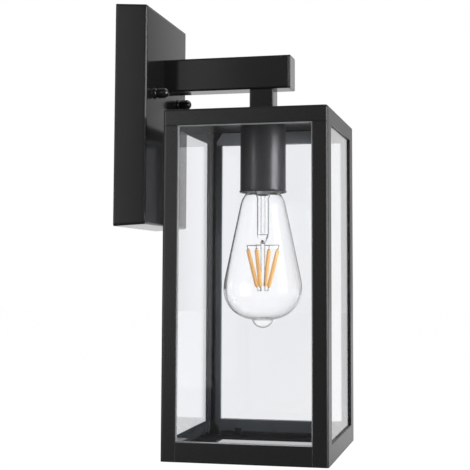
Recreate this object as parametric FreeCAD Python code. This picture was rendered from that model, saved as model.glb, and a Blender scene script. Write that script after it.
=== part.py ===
"""Outdoor wall lantern: a glazed square lantern hung by a stem from a short arm on a wall plate.

Millimetres. The origin is the middle of the mounting bar's back, on the wall and on the axis of the
electrical box. +Y runs into the wall, the lantern's front faces -Y, and +Z is up.
Each function makes one sub-part, and the list at the end writes one STEP file for each.
"""
import FreeCAD, Part
import math
import os

V = FreeCAD.Vector
Y_AXIS = V(0, 1, 0)
Z_AXIS = V(0, 0, 1)

# ---- driving dimensions: wall plate and what fixes it ----
PLATE_WIDTH = 103.0          # front face
PLATE_HEIGHT = 177.0
PLATE_DEPTH = 26.0
PLATE_DROP = 19.5            # the plate's middle lies this far below the box axis
PLATE_DRAFT = 1.5            # each side leans in by this from wall to front
PLATE_SHEET = 1.5
PLATE_EDGE_RADIUS = 1.8      # front rim and the four corners
GASKET_WIDTH = 3.0
GASKET_DEPTH = 4.0
BAR_LENGTH = 96.0
BAR_HEIGHT = 20.0
BAR_THICKNESS = 2.0
BAR_SLOT_SPACING = 81.0
BAR_SLOT_LENGTH = 12.5
BAR_SLOT_WIDTH = 4.6
CAP_NUT_SPACING = 60.0
CAP_NUT_RADIUS = 4.3
CAP_NUT_LENGTH = 12.0
STUD_RADIUS = 2.0
LOCK_NUT_FLATS = 7.0
LOCK_NUT_HEIGHT = 3.2
GROUND_SCREW_X = 13.0
GROUND_SCREW_RADIUS = 2.0
GROUND_WIRE_RADIUS = 0.8
TERMINAL_THICKNESS = 0.8

# ---- driving dimensions: lantern frame ----
LANTERN_WIDTH = 130.0        # square in plan
LANTERN_HEIGHT = 270.0
LANTERN_TOP = -19.5          # height of the roof above the box axis
LANTERN_GAP = 19.0           # air between the wall plate and the lantern's back
SHEET = 1.2
CORNER_RADIUS = 2.0          # outer corners of the posts and the roof
SIDE_FLANGE = 12.0           # post flange seen from the side
FRONT_FLANGE = 15.0          # post flange seen from the front and the back
ROOF_SKIRT = 12.8            # height of the roof's turned-down edge
BASE_RAIL_HEIGHT = 14.8
BASE_LEDGE = 19.0            # width of the base rail's ledge, from the outer face

# ---- driving dimensions: glazing ----
PANE_WIDTH = 116.0
PANE_THICKNESS = 3.0
PANE_FOOT = 4.8              # from the lantern's underside up to the pane's lower edge
PANE_HEAD_GAP = 0.4          # between the roof and the pane
PANE_CLIP_X = 5.0            # clipped corners
PANE_CLIP_Z = 8.0
SEALANT = 0.3
SEALANT_SHOWING = 1.7        # how far the side panes' bead reaches past the flange
SEALANT_HIDDEN = -0.4        # the front and back panes' bead stops short of it

# ---- driving dimensions: arm and stem ----
ARM_WIDTH = 20.0
ARM_HEIGHT = 27.5
ARM_RISE = 24.0              # from the roof up to the arm's underside
ARM_OVERHANG = 24.7          # past the lantern's axis, to the front
ARM_WALL = 1.5
ARM_SCREW_RADIUS = 2.0
ARM_SCREW_SPACING = 18.0
ANCHOR_THICKNESS = 5.0
GROMMET_RADIUS = 4.0
STEM_WIDTH = 17.0
STEM_DEPTH = 20.0
STEM_PLATE = 4.0

# ---- driving dimensions: socket cup and lamp holder ----
CUP_RADIUS = 18.75
CUP_WALL = 1.0
CUP_DEPTH = 60.1
CUP_SHOULDER = 5.0
CUP_LIP = 0.75               # the rolled rim stands out by this
NIPPLE_RADIUS = 4.85
NIPPLE_BORE = 3.2
WASHER_THICKNESS = 1.0
NUT_HEIGHT = 4.0
HOLDER_CAP_HEIGHT = 6.0
HOLDER_RADIUS = 17.2
HOLDER_RECESS = 0.9          # the holder's foot lies this far inside the cup
SHELL_THICKNESS = 0.4
CONTACT_GAP = 0.3
CONTACT_THICKNESS = 0.6
LEAD_RADIUS = 1.1
# where each lead passes the nipple's bore, and where it ends at its terminal: live, then neutral
LEAD_PLACES = ((-1.5, -6.5), (1.5, 11.0))

# ---- driving dimensions: bulb ----
BULB_LENGTH = 142.0
BULB_TIP = 171.8             # from the roof down to the bulb's tip
BULB_RADIUS = 32.0           # at its widest
BULB_GIRTH_RISE = 31.8       # from the tip up to the widest girth
FLANK_LEAN = 0.2102          # how far the straight flank spreads for each millimetre down
FLANK_RADIUS = 43.0          # from the flank round into the widest girth
BOWL_RADIUS = 24.9           # from the widest girth down and in
FOOT_RADIUS = 50.0           # the flatter foot, centred on the axis
NUB_RADIUS = 9.3             # the sealed-off tip
NUB_FILLET = 1.2
SHOULDER_RADIUS = 21.0       # below the neck
SHOULDER_DROP = 41.5         # from the contact down to where shoulder and flank meet
NECK_FILLET = 5.0
GLASS_WALL = 0.6
BASE_SHELL_RADIUS = 12.9
BASE_SHELL_WALL = 0.35
RUNNING_CLEARANCE = 0.3
STICK_DROP = 77.6            # from the contact down to the top of the sticks
STICK_LENGTH = 31.5
STICK_RADIUS = 1.3
STICK_TURN = 9.2
STICK_TOP_RADIUS = 13.5
STICK_FOOT_RADIUS = 5.0
CARRIER_RADIUS = 0.35
LINK_RADIUS = 0.2            # the finer wires that tie the sticks' feet to the middle wires
CARRIER_SPACING = 3.0        # between the two middle wires
STEM_TUBE_RADIUS = 4.9
STEM_TUBE_WALL = 0.6
EXHAUST_RADIUS = 1.9
EXHAUST_BORE = 1.5
PRESS_THICKNESS = 2.8

# ---- derived places ----
LANTERN_HALF = LANTERN_WIDTH / 2
LANTERN_Y = -(PLATE_DEPTH + LANTERN_GAP + LANTERN_HALF)
LANTERN_FOOT = LANTERN_TOP - LANTERN_HEIGHT
CEILING = LANTERN_TOP - SHEET
SKIRT_FOOT = LANTERN_TOP - ROOF_SKIRT
RAIL_TOP = LANTERN_FOOT + BASE_RAIL_HEIGHT
PANE_BOTTOM = LANTERN_FOOT + PANE_FOOT
PANE_TOP = CEILING - PANE_HEAD_GAP
PANE_OUTER = LANTERN_HALF - SHEET - SEALANT
ARM_BOTTOM = LANTERN_TOP + ARM_RISE
ARM_TOP = ARM_BOTTOM + ARM_HEIGHT
ARM_MIDDLE = ARM_BOTTOM + ARM_HEIGHT / 2
ARM_FRONT = LANTERN_Y - ARM_OVERHANG
ARM_SCREW_HEIGHTS = (ARM_MIDDLE - ARM_SCREW_SPACING / 2, ARM_MIDDLE + ARM_SCREW_SPACING / 2)
CUP_RIM = CEILING - CUP_DEPTH
CUP_NUT_TOP = CEILING - CUP_WALL - WASHER_THICKNESS
HOLDER_CAP_TOP = CUP_NUT_TOP - NUT_HEIGHT - 0.6
HOLDER_CAP_FOOT = HOLDER_CAP_TOP - HOLDER_CAP_HEIGHT
HOLDER_FOOT = CUP_RIM + HOLDER_RECESS
BULB_FOOT = LANTERN_TOP - BULB_TIP
BULB_CONTACT = BULB_FOOT + BULB_LENGTH
CONTACT_SEAT = BULB_CONTACT + CONTACT_GAP + CONTACT_THICKNESS + 1.0
SHELL_BORE = BASE_SHELL_RADIUS + RUNNING_CLEARANCE
BASE_SHELL_TOP = BULB_CONTACT - 6.0
BASE_SHELL_FOOT = BULB_CONTACT - 26.0
NECK_TOP = BASE_SHELL_FOOT + 1.5
NECK_RADIUS = BASE_SHELL_RADIUS - BASE_SHELL_WALL - 0.2
STICK_TOP = BULB_CONTACT - STICK_DROP
PRESS_TOP = STICK_TOP + 10.2
PRESS_FOOT = STICK_TOP + 4.1


# ---- shape helpers ----
def block(low, high):
    """A box between two opposite corners."""
    size = V(*high) - V(*low)
    return Part.makeBox(size.x, size.y, size.z, V(*low))


def centred_block(width, depth, height, centre):
    corner = V(*centre) - V(width / 2, depth / 2, height / 2)
    return Part.makeBox(width, depth, height, corner)


def rod(radius, start, end):
    """A round bar between two points."""
    start = V(*start)
    along = V(*end) - start
    return Part.makeCylinder(radius, along.Length, start, along)


def polygon(points):
    vectors = [V(*p) for p in points]
    return Part.Face(Part.makePolygon(vectors + vectors[:1]))


def edges_along(shape, axis):
    """The straight edges of a shape that run along an axis."""
    found = []
    for edge in shape.Edges:
        if not isinstance(edge.Curve, (Part.Line, Part.LineSegment)):
            continue
        direction = (edge.Vertexes[-1].Point - edge.Vertexes[0].Point).normalize()
        if abs(direction.dot(axis)) > 0.999:
            found.append(edge)
    return found


def rounded_block(low, high, radius, axis):
    """A box whose four edges along one axis are rounded."""
    box = block(low, high)
    return box.makeFillet(radius, edges_along(box, axis))


def arc(centre, radius, start, end):
    """The shorter arc in the XZ plane about a centre, between two directions from it."""
    first = V(*start).normalize()
    last = V(*end).normalize()
    middle = (first + last).normalize()
    centre = V(*centre)
    return Part.Arc(centre + first * radius, centre + middle * radius, centre + last * radius).toShape()


def line(start, end):
    return Part.LineSegment(start, end).toShape()


def revolved(outline, centre, axis=Z_AXIS):
    """A full turn of a closed outline of (radius, height) points round +Z, then laid on an axis."""
    face = polygon([(r, 0, h) for r, h in outline])
    solid = face.revolve(V(0, 0, 0), Z_AXIS, 360)
    solid.Placement = FreeCAD.Placement(V(*centre), FreeCAD.Rotation(Z_AXIS, axis))
    return solid


def hexagon_nut(across_flats, bore, low, high):
    """A hexagonal nut round an axis from low to high, with chamfered corners on its far side."""
    low = V(*low)
    along = V(*high) - low
    corner = across_flats / 2 / math.cos(math.radians(30))
    angles = [math.radians(60 * step) for step in range(6)]
    face = polygon([(corner * math.cos(a), corner * math.sin(a), 0) for a in angles])
    nut = face.extrude(V(0, 0, along.Length))
    cone_height = corner - across_flats / 2
    cone = Part.makeCone(corner, across_flats / 2, cone_height)
    cone.translate(V(0, 0, along.Length - cone_height))
    core = Part.makeCylinder(corner, along.Length - cone_height)
    nut = nut.common(core.fuse(cone))
    nut = nut.cut(Part.makeCylinder(bore, along.Length * 3, V(0, 0, -along.Length)))
    nut.Placement = FreeCAD.Placement(low, FreeCAD.Rotation(Z_AXIS, along))
    return nut


def pan_head_screw(shank, length, head, head_height, seat, axis):
    """A screw whose head sits on seat; the shank runs along axis."""
    axis = V(*axis)
    crown = head_height * 0.45
    outline = Part.makeCylinder(head, head_height, V(0, 0, -head_height))
    outline = outline.makeFillet(crown, [e for e in outline.Edges if e.BoundBox.ZMax < -crown])
    cross = centred_block(head * 1.1, 1.0, 1.4, (0, 0, -head_height))
    cross = cross.fuse(centred_block(1.0, head * 1.1, 1.4, (0, 0, -head_height)))
    screw = outline.cut(cross).fuse(Part.makeCylinder(shank, length))
    screw.Placement = FreeCAD.Placement(V(*seat), FreeCAD.Rotation(Z_AXIS, axis))
    return screw


def turned(shape, degrees):
    """A copy turned about the lantern's upright axis."""
    copy = shape.copy()
    copy.rotate(V(0, LANTERN_Y, 0), Z_AXIS, degrees)
    return copy


def wire_path(points):
    """Straight runs joined by tangent arcs; each inner point carries its corner's radius."""
    corners = [V(*p[:3]) for p in points]
    edges = []
    start = corners[0]
    for index in range(1, len(corners) - 1):
        here = corners[index]
        to_last = (corners[index - 1] - here).normalize()
        to_next = (corners[index + 1] - here).normalize()
        turn = math.pi - to_last.getAngle(to_next)
        setback = points[index][3] * math.tan(turn / 2)
        first = here + to_last * setback
        last = here + to_next * setback
        inward = (to_last + to_next).normalize()
        middle = here + inward * (setback / math.sin(turn / 2) * (1 - math.cos(turn / 2)))
        edges.append(line(start, first))
        edges.append(Part.Arc(first, middle, last).toShape())
        start = last
    edges.append(line(start, corners[-1]))
    return Part.Wire(edges)


def insulated_wire(name, points, radius):
    """A round wire along a path of straight runs and tangent arcs."""
    path = wire_path(points)
    first, second = V(*points[0][:3]), V(*points[1][:3])
    ring = Part.Wire(Part.makeCircle(radius, first, second - first))
    wire = path.makePipeShell([ring], True, False)
    share = wire.Volume / (math.pi * radius ** 2 * path.Length)
    print(name, "radii", [p[3] for p in points[1:-1]], "length", round(path.Length, 1),
          "volume over section times length", round(share, 4))
    return wire


# ---- wall plate and what fixes it ----
def plate_outline(grow, y):
    """The plate's rectangle at a depth, larger all round by grow."""
    half_width = PLATE_WIDTH / 2 + grow
    low = -PLATE_DROP - PLATE_HEIGHT / 2 - grow
    high = -PLATE_DROP + PLATE_HEIGHT / 2 + grow
    corners = [V(-half_width, y, low), V(half_width, y, low),
               V(half_width, y, high), V(-half_width, y, high)]
    return Part.makePolygon(corners + corners[:1])


def plate_solid(inset):
    """The plate's outside, or with an inset its inside: leaning sides, rounded corners and front rim."""
    front = plate_outline(-inset, -PLATE_DEPTH + inset)
    back = plate_outline(PLATE_DRAFT - inset, 0)
    solid = Part.makeLoft([front, back], True, True)
    return solid.makeFillet(PLATE_EDGE_RADIUS - inset, [e for e in solid.Edges if e.BoundBox.YMin < -1])


def backplate():
    """Pressed steel pan, open to the wall, with holes for the studs, arm screws and leads."""
    pan = plate_solid(0).cut(plate_solid(PLATE_SHEET))
    for side in (-1, 1):
        x = side * CAP_NUT_SPACING / 2
        pan = pan.cut(rod(STUD_RADIUS + 0.4, (x, 1, 0), (x, -PLATE_DEPTH - 1, 0)))
    for z in ARM_SCREW_HEIGHTS:
        pan = pan.cut(rod(ARM_SCREW_RADIUS + 0.25, (0, 1, z), (0, -PLATE_DEPTH - 1, z)))
    return pan.cut(rod(GROMMET_RADIUS, (0, 1, ARM_MIDDLE), (0, -PLATE_DEPTH - 1, ARM_MIDDLE)))


def wall_gasket():
    """Foam strip inside the pan's rim, flush with it."""
    lean = PLATE_DRAFT - PLATE_SHEET - 0.4
    outer = plate_outline(lean, -GASKET_DEPTH)
    inner = plate_outline(lean - GASKET_WIDTH, -GASKET_DEPTH)
    ring = Part.Face(outer).cut(Part.Face(inner))
    return ring.extrude(V(0, GASKET_DEPTH, 0))


def mounting_bar():
    """Flat strap with a slot at each end for the electrical box's screws."""
    bar = rounded_block((-BAR_LENGTH / 2, -BAR_THICKNESS, -BAR_HEIGHT / 2),
                        (BAR_LENGTH / 2, 0, BAR_HEIGHT / 2), 4.0, Y_AXIS)
    for side in (-1, 1):
        x = side * BAR_SLOT_SPACING / 2
        bar = bar.cut(rounded_slot(x, BAR_SLOT_LENGTH, BAR_SLOT_WIDTH))
        bar = bar.cut(rod(STUD_RADIUS + 0.05, (side * CAP_NUT_SPACING / 2, 1, 0),
                          (side * CAP_NUT_SPACING / 2, -BAR_THICKNESS - 1, 0)))
    return bar.cut(rod(GROUND_SCREW_RADIUS + 0.05, (GROUND_SCREW_X, 1, 0),
                       (GROUND_SCREW_X, -BAR_THICKNESS - 1, 0)))


def rounded_slot(x, length, width):
    """The tool that cuts a slot with round ends across the mounting bar."""
    low, high = -BAR_THICKNESS - 1, 1
    reach = (length - width) / 2
    slot = block((x - reach, low, -width / 2), (x + reach, high, width / 2))
    for end in (-reach, reach):
        slot = slot.fuse(rod(width / 2, (x + end, low, 0), (x + end, high, 0)))
    return slot.removeSplitter()


def mounting_studs():
    """Two threaded studs that stand out of the bar and through the plate."""
    front = -PLATE_DEPTH - CAP_NUT_LENGTH * 0.62
    studs = []
    for side in (-1, 1):
        x = side * CAP_NUT_SPACING / 2
        stud = rod(STUD_RADIUS, (x, 0, 0), (x, front, 0))
        studs.append(stud.makeChamfer(0.5, [e for e in stud.Edges if e.BoundBox.YMax < front + 0.1]))
    return Part.makeCompound(studs)


def stud_lock_nuts():
    """A hexagonal nut on each stud, tight against the front of the bar."""
    nuts = []
    for side in (-1, 1):
        x = side * CAP_NUT_SPACING / 2
        nuts.append(hexagon_nut(LOCK_NUT_FLATS, STUD_RADIUS + 0.05, (x, -BAR_THICKNESS, 0),
                                (x, -BAR_THICKNESS - LOCK_NUT_HEIGHT, 0)))
    return Part.makeCompound(nuts)


def cap_nut(side):
    """Domed nut with a flared foot, blind-threaded, turned up against the plate's front."""
    foot = CAP_NUT_RADIUS * 1.08
    waist = CAP_NUT_RADIUS * 0.86
    straight = CAP_NUT_LENGTH - CAP_NUT_RADIUS
    profile = [line(V(0, 0, 0), V(foot, 0, 0)),
               line(V(foot, 0, 0), V(foot, 0, 1.2)),
               Part.Arc(V(foot, 0, 1.2), V(waist, 0, 2.1), V(CAP_NUT_RADIUS, 0, 3.2)).toShape(),
               line(V(CAP_NUT_RADIUS, 0, 3.2), V(CAP_NUT_RADIUS, 0, straight)),
               arc(V(0, 0, straight), CAP_NUT_RADIUS, V(1, 0, 0), V(0, 0, 1)),
               line(V(0, 0, CAP_NUT_LENGTH), V(0, 0, 0))]
    nut = Part.Face(Part.Wire(profile)).revolve(V(0, 0, 0), Z_AXIS, 360)
    nut = nut.cut(Part.makeCylinder(STUD_RADIUS + 0.06, CAP_NUT_LENGTH * 0.7))
    nut.Placement = FreeCAD.Placement(V(side * CAP_NUT_SPACING / 2, -PLATE_DEPTH - 0.02, 0),
                                      FreeCAD.Rotation(Z_AXIS, V(0, -1, 0)))
    return nut


def ground_screw():
    """Green screw in the bar that clamps the ground lead."""
    seat = (GROUND_SCREW_X, -BAR_THICKNESS - 2 * GROUND_WIRE_RADIUS, 0)
    length = BAR_THICKNESS + 2 * GROUND_WIRE_RADIUS
    return pan_head_screw(GROUND_SCREW_RADIUS, length, 3.8, 2.4, seat, (0, 1, 0))


def ground_terminal():
    """Ring under the head of the arm's upper screw, with a barrel for the ground lead."""
    y = -PLATE_DEPTH + PLATE_SHEET
    z = ARM_SCREW_HEIGHTS[1]
    ring = rod(3.7, (0, y, z), (0, y + TERMINAL_THICKNESS, z))
    tongue = block((0, y, z - 1.6), (7.5, y + TERMINAL_THICKNESS, z + 1.6))
    barrel = rod(1.7, (7.0, y + 1.7, z), (12.0, y + 1.7, z))
    bore = rod(GROUND_WIRE_RADIUS + 0.05, (6.0, y + 1.7, z), (13.0, y + 1.7, z))
    hole = rod(ARM_SCREW_RADIUS + 0.1, (0, y - 1, z), (0, y + 3, z))
    return ring.fuse([tongue, barrel]).cut(bore).cut(hole).removeSplitter()


def ground_wire():
    """Bare copper lead from the ring terminal down to the ground screw."""
    y = -PLATE_DEPTH + PLATE_SHEET + 1.7
    z = ARM_SCREW_HEIGHTS[1]
    hook = GROUND_SCREW_X + GROUND_SCREW_RADIUS + GROUND_WIRE_RADIUS + 0.1
    bar_front = -BAR_THICKNESS - GROUND_WIRE_RADIUS
    points = [(7.5, y, z), (24.0, y, z, 7.0), (26.0, -9.0, 14.0, 8.0),
              (hook, bar_front, 6.0, 5.0), (hook, bar_front, -3.0)]
    return insulated_wire("ground_wire", points, GROUND_WIRE_RADIUS)


# ---- arm and stem ----
def tube(low, high, wall, radius, axis):
    """A rectangular tube with rounded corners, open at both ends."""
    outside = rounded_block(low, high, radius, axis)
    cross = V(1, 1, 1) - axis
    inside_low = V(*low) + cross * wall - axis
    inside_high = V(*high) - cross * wall + axis
    inside = rounded_block(tuple(inside_low), tuple(inside_high), max(radius - wall, 0.3), axis)
    return outside.cut(inside)


def arm():
    """Rectangular tube square to the wall plate, with an opening below for the stem's bore."""
    body = tube((-ARM_WIDTH / 2, ARM_FRONT + ARM_WALL, ARM_BOTTOM),
                (ARM_WIDTH / 2, -PLATE_DEPTH, ARM_TOP), ARM_WALL, 1.6, Y_AXIS)
    return body.cut(centred_block(STEM_WIDTH - 4, STEM_DEPTH - 4, 2 * ARM_WALL + 1,
                                  (0, LANTERN_Y, ARM_BOTTOM)))


def arm_end_cap():
    """Plate welded into the arm's front end, with softened edges."""
    cap = rounded_block((-ARM_WIDTH / 2, ARM_FRONT, ARM_BOTTOM),
                        (ARM_WIDTH / 2, ARM_FRONT + ARM_WALL, ARM_TOP), 1.6, Y_AXIS)
    front = [e for e in cap.Edges if e.BoundBox.YMax < ARM_FRONT + 1e-6]
    return cap.makeFillet(0.7, front)


def arm_anchor():
    """Thick plate welded inside the arm's wall end, tapped for the two arm screws."""
    half_width = ARM_WIDTH / 2 - ARM_WALL
    inner_low = ARM_BOTTOM + ARM_WALL
    inner_high = ARM_TOP - ARM_WALL
    plate = rounded_block((-half_width, -PLATE_DEPTH - ANCHOR_THICKNESS, inner_low),
                          (half_width, -PLATE_DEPTH, inner_high), 0.4, Y_AXIS)
    for z in ARM_SCREW_HEIGHTS:
        plate = plate.cut(rod(ARM_SCREW_RADIUS + 0.05, (0, 1, z), (0, -PLATE_DEPTH - 9, z)))
    return plate.cut(rod(GROMMET_RADIUS, (0, 1, ARM_MIDDLE), (0, -PLATE_DEPTH - 9, ARM_MIDDLE)))


def arm_screws():
    """Two pan-head screws from inside the plate; the upper one also holds the ring terminal."""
    inside = -PLATE_DEPTH + PLATE_SHEET
    lower = pan_head_screw(ARM_SCREW_RADIUS, 7.5, 3.6, 2.4, (0, inside, ARM_SCREW_HEIGHTS[0]), (0, -1, 0))
    upper = pan_head_screw(ARM_SCREW_RADIUS, 8.3, 3.6, 2.4,
                           (0, inside + TERMINAL_THICKNESS, ARM_SCREW_HEIGHTS[1]), (0, -1, 0))
    return Part.makeCompound([lower, upper])


def lead_grommet():
    """Flanged rubber bush that lines the hole where the leads leave the arm."""
    inside = -PLATE_DEPTH + PLATE_SHEET
    outline = [(2.9, -1.2), (5.2, -1.2), (5.2, 0), (GROMMET_RADIUS - 0.05, 0),
               (GROMMET_RADIUS - 0.05, 6.0), (2.9, 6.0)]
    return revolved(outline, (0, inside, ARM_MIDDLE), V(0, -1, 0))


def stem():
    """Short rectangular tube welded under the arm."""
    return tube((-STEM_WIDTH / 2, LANTERN_Y - STEM_DEPTH / 2, LANTERN_TOP),
                (STEM_WIDTH / 2, LANTERN_Y + STEM_DEPTH / 2, ARM_BOTTOM), ARM_WALL, 1.0, Z_AXIS)


def stem_end_plate():
    """Plug welded in the stem's foot, tapped for the nipple."""
    half_width = STEM_WIDTH / 2 - ARM_WALL
    half_depth = STEM_DEPTH / 2 - ARM_WALL
    plate = rounded_block((-half_width, LANTERN_Y - half_depth, LANTERN_TOP),
                          (half_width, LANTERN_Y + half_depth, LANTERN_TOP + STEM_PLATE), 0.5, Z_AXIS)
    return plate.cut(axial_bore(NIPPLE_RADIUS + 0.05))


def axial_bore(radius):
    """The tool that bores a hole down the lantern's upright axis."""
    return Part.makeCylinder(radius, 80, V(0, LANTERN_Y, CEILING - 45))


# ---- lantern frame ----
def roof():
    """Square tray turned upside down: flat top, four skirts, rounded corners, hole for the nipple."""
    half = LANTERN_HALF
    outside = block((-half, LANTERN_Y - half, SKIRT_FOOT), (half, LANTERN_Y + half, LANTERN_TOP))
    rounded = [e for e in outside.Edges if e.BoundBox.ZMax > SKIRT_FOOT + 1]
    outside = outside.makeFillet(CORNER_RADIUS, rounded)
    inner = half - SHEET
    inside = block((-inner, LANTERN_Y - inner, SKIRT_FOOT - 1), (inner, LANTERN_Y + inner, CEILING))
    return outside.cut(inside).cut(axial_bore(NIPPLE_RADIUS + 0.3))


def corner_post(x_side, y_side):
    """Steel angle from the roof's skirt to the foot; its flange is wider to the front and back."""
    half = LANTERN_HALF
    profile = [(half, half), (half - FRONT_FLANGE, half), (half - FRONT_FLANGE, half - SHEET),
               (half - SHEET, half - SHEET), (half - SHEET, half - SIDE_FLANGE),
               (half, half - SIDE_FLANGE)]
    points = [(x_side * x, LANTERN_Y + y_side * y, LANTERN_FOOT) for x, y in profile]
    post = polygon(points).extrude(V(0, 0, SKIRT_FOOT - LANTERN_FOOT))
    corner = V(x_side * half, LANTERN_Y + y_side * half, 0)
    outer = [e for e in edges_along(post, Z_AXIS)
             if abs(e.BoundBox.XMin - corner.x) < 1e-6 and abs(e.BoundBox.YMin - corner.y) < 1e-6]
    return post.makeFillet(CORNER_RADIUS, outer)


def base_rail(degrees, flange):
    """Angle between two posts; its ledge turns in and is mitred to the next rail's ledge."""
    half = LANTERN_HALF
    reach = half - flange
    web = block((-reach, LANTERN_Y - half, LANTERN_FOOT), (reach, LANTERN_Y - half + SHEET, RAIL_TOP))
    inner = half - SHEET
    tip = half - BASE_LEDGE
    ledge = polygon([(-inner, LANTERN_Y - inner, LANTERN_FOOT), (inner, LANTERN_Y - inner, LANTERN_FOOT),
                     (tip, LANTERN_Y - tip, LANTERN_FOOT), (-tip, LANTERN_Y - tip, LANTERN_FOOT)])
    return turned(web.fuse(ledge.extrude(V(0, 0, SHEET))).removeSplitter(), degrees)


# ---- glazing ----
def pane_outline(inset):
    """The pane's octagon in the front plane: a rectangle with clipped corners."""
    half = PANE_WIDTH / 2 - inset
    low, high = PANE_BOTTOM + inset, PANE_TOP - inset
    cut_x, cut_z = PANE_CLIP_X, PANE_CLIP_Z
    return [(-half + cut_x, low), (half - cut_x, low), (half, low + cut_z), (half, high - cut_z),
            (half - cut_x, high), (-half + cut_x, high), (-half, high - cut_z), (-half, low + cut_z)]


def pane(degrees):
    """Clear glass with clipped corners, lying behind the flanges."""
    y = LANTERN_Y - PANE_OUTER
    face = polygon([(x, y, z) for x, z in pane_outline(0)])
    return turned(face.extrude(V(0, PANE_THICKNESS, 0)), degrees)


def pane_sealant(degrees, flange, showing):
    """Clear bead between the flanges and the pane, reaching into the opening by what shows of it."""
    y = LANTERN_Y - PANE_OUTER - SEALANT
    ring = polygon([(x, y, z) for x, z in pane_outline(0.5)])
    half = LANTERN_HALF - flange - showing
    window = block((-half, y - 1, RAIL_TOP), (half, y + 1, SKIRT_FOOT - showing))
    return turned(ring.extrude(V(0, SEALANT, 0)).cut(window), degrees)


def pane_clips():
    """Two folded lugs on each base rail that carry the pane's foot and lap over its inner face."""
    thick, width, lap = 1.0, 6.0, 3.2
    y = LANTERN_Y - LANTERN_HALF + SHEET
    lugs = []
    for degrees in (0, 90, 180, 270):
        for x in (-36.0, 36.0):
            shelf = block((x - width / 2, y, PANE_BOTTOM - thick),
                          (x + width / 2, y + SEALANT + PANE_THICKNESS + thick, PANE_BOTTOM))
            lip = block((x - width / 2, y + SEALANT + PANE_THICKNESS, PANE_BOTTOM - thick),
                        (x + width / 2, y + SEALANT + PANE_THICKNESS + thick, PANE_BOTTOM + lap))
            lugs.append(turned(shelf.fuse(lip).removeSplitter(), degrees))
    return Part.makeCompound(lugs)


# ---- socket cup and lamp holder ----

def socket_cup():
    """Spun steel cup with a rounded shoulder and a rolled rim, open at the foot."""
    bore = NIPPLE_RADIUS + 0.3
    inner_top = CEILING - CUP_WALL
    inner_radius = CUP_RADIUS - CUP_WALL
    bend_x = CUP_RADIUS - CUP_SHOULDER
    bend_z = CEILING - CUP_SHOULDER
    roll_top = CUP_RIM + 2 * CUP_LIP
    section = [line(V(bore, 0, CEILING), V(bend_x, 0, CEILING)),
               arc(V(bend_x, 0, bend_z), CUP_SHOULDER, V(0, 0, 1), V(1, 0, 0)),
               line(V(CUP_RADIUS, 0, bend_z), V(CUP_RADIUS, 0, roll_top)),
               arc(V(CUP_RADIUS, 0, CUP_RIM + CUP_LIP), CUP_LIP, V(0, 0, 1), V(1, 0, 0)),
               arc(V(CUP_RADIUS, 0, CUP_RIM + CUP_LIP), CUP_LIP, V(1, 0, 0), V(0, 0, -1)),
               line(V(CUP_RADIUS, 0, CUP_RIM), V(inner_radius, 0, CUP_RIM)),
               line(V(inner_radius, 0, CUP_RIM), V(inner_radius, 0, bend_z)),
               arc(V(bend_x, 0, bend_z), CUP_SHOULDER - CUP_WALL, V(1, 0, 0), V(0, 0, 1)),
               line(V(bend_x, 0, inner_top), V(bore, 0, inner_top)),
               line(V(bore, 0, inner_top), V(bore, 0, CEILING))]
    cup = Part.Face(Part.Wire(section)).revolve(V(0, 0, 0), Z_AXIS, 360)
    cup.translate(V(0, LANTERN_Y, 0))
    return cup


def threaded_nipple():
    """Hollow threaded rod from the stem's plug down into the lamp holder's cap."""
    top = LANTERN_TOP + STEM_PLATE + 2.0
    foot = HOLDER_CAP_FOOT + 2.5
    outline = [(NIPPLE_BORE, foot), (NIPPLE_RADIUS - 0.5, foot), (NIPPLE_RADIUS, foot + 0.5),
               (NIPPLE_RADIUS, top - 0.5), (NIPPLE_RADIUS - 0.5, top), (NIPPLE_BORE, top)]
    return revolved(outline, (0, LANTERN_Y, 0))


def nipple_washer():
    """Toothed lock washer under the cup's top."""
    z = CEILING - CUP_WALL
    washer = rod(8.5, (0, LANTERN_Y, z), (0, LANTERN_Y, z - WASHER_THICKNESS))
    for step in range(12):
        angle = math.radians(30 * step)
        centre = (8.5 * math.cos(angle), LANTERN_Y + 8.5 * math.sin(angle))
        washer = washer.cut(rod(0.8, (*centre, z + 1), (*centre, z - 3)))
    return washer.cut(axial_bore(NIPPLE_RADIUS + 0.1))


def nipple_nut():
    """Hexagonal nut that draws the roof and the cup up against the stem."""
    return hexagon_nut(14.0, NIPPLE_RADIUS + 0.05, (0, LANTERN_Y, CUP_NUT_TOP),
                       (0, LANTERN_Y, CUP_NUT_TOP - NUT_HEIGHT))


def holder_cap():
    """Threaded steel cap that screws the lamp holder to the nipple."""
    bore = NIPPLE_RADIUS + 0.05
    outline = [(bore, HOLDER_CAP_TOP), (7.0, HOLDER_CAP_TOP), (7.0, HOLDER_CAP_FOOT + 1.5),
               (12.0, HOLDER_CAP_FOOT + 1.5), (12.0, HOLDER_CAP_FOOT), (bore, HOLDER_CAP_FOOT)]
    return revolved(outline, (0, LANTERN_Y, 0))


def lamp_holder():
    """Moulded body: a stepped cup with wire ports, holding the screw shell and the centre contact."""
    top, foot = HOLDER_CAP_FOOT, HOLDER_FOOT
    shell_room = SHELL_BORE + SHELL_THICKNESS + 0.05
    outline = [(0, top), (HOLDER_RADIUS - 2.5, top), (HOLDER_RADIUS - 2.5, top - 5.0),
               (HOLDER_RADIUS, top - 8.0), (HOLDER_RADIUS, foot + 1.0), (HOLDER_RADIUS - 1.0, foot),
               (shell_room + 0.6, foot), (shell_room, foot + 2.0), (shell_room, CONTACT_SEAT),
               (0, CONTACT_SEAT)]
    body = revolved(outline, (0, LANTERN_Y, 0))
    for bore_x, terminal_x in LEAD_PLACES:
        body = body.cut(rod(LEAD_RADIUS + 0.5, (bore_x, LANTERN_Y, top + 0.5),
                            (terminal_x, LANTERN_Y, CONTACT_SEAT)))
    return body


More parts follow.
